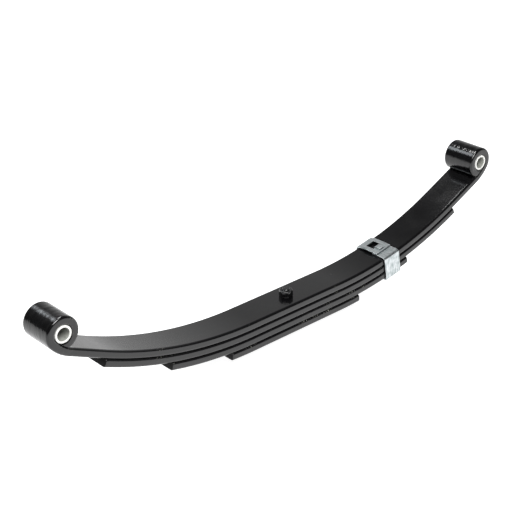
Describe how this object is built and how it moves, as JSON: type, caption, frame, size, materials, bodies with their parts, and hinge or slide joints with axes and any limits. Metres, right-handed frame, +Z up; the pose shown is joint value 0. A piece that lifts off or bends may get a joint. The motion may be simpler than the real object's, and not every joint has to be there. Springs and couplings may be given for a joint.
{
  "type": "leaf spring",
  "caption": "Multi-leaf double-eye leaf spring with upturned rolled eyes, plastic bushes, centre bolt and a rebound clip; the arms flex at both ends.",
  "frame": {"origin": "on the centre bolt's axis, in the plane of the shortest leaf's underside, where the pack rests on the axle's seat", "axes": "+X along the spring towards the rear eye, on the clip's side; +Y across the leaves, along the bush bores; +Z up, from the shortest leaf to the main leaf"},
  "size_m": [0.6794, 0.0488, 0.1485],
  "materials": {
    "leaf_paint": "semi-gloss black paint",
    "bolt_paint": "semi-gloss black paint over steel",
    "bush_plastic": "moulded off-white nylon",
    "clip_zinc": "bright zinc plate"
  },
  "bodies": {
    "leaf_pack": {"main_leaf": "leaf_paint", "second_leaf": "leaf_paint", "third_leaf": "leaf_paint", "fourth_leaf": "leaf_paint", "centre_bolt": "bolt_paint", "centre_nut": "bolt_paint"},
    "front_eye": {"front_bush": "bush_plastic"},
    "rear_eye": {"rear_bush": "bush_plastic"},
    "clip": {"rebound_clip": "clip_zinc"}
  },
  "joints": [
    {"name": "front_flex", "type": "hinge", "parent": "leaf_pack", "child": "front_eye", "pos_m": [-0.175, 0, 0.046], "axis": [0, -1, 0], "range_deg": [-3, 10.5], "stiffness_Nm_per_rad": 4300, "deforming": ["main_leaf", "second_leaf", "third_leaf", "fourth_leaf"]},
    {"name": "rear_flex", "type": "hinge", "parent": "leaf_pack", "child": "rear_eye", "pos_m": [0.175, 0, 0.046], "axis": [0, 1, 0], "range_deg": [-3, 10.5], "stiffness_Nm_per_rad": 4300},
    {"name": "clip_follow", "type": "hinge", "parent": "leaf_pack", "child": "clip", "pos_m": [0.18059, 0, 0.05056], "axis": [0, 1, 0], "range_deg": [-0.95, 3.2]}
  ],
  "couplings": [
    {"joint": "clip_follow", "follows": "rear_flex", "ratio": 0.3}
  ]
}
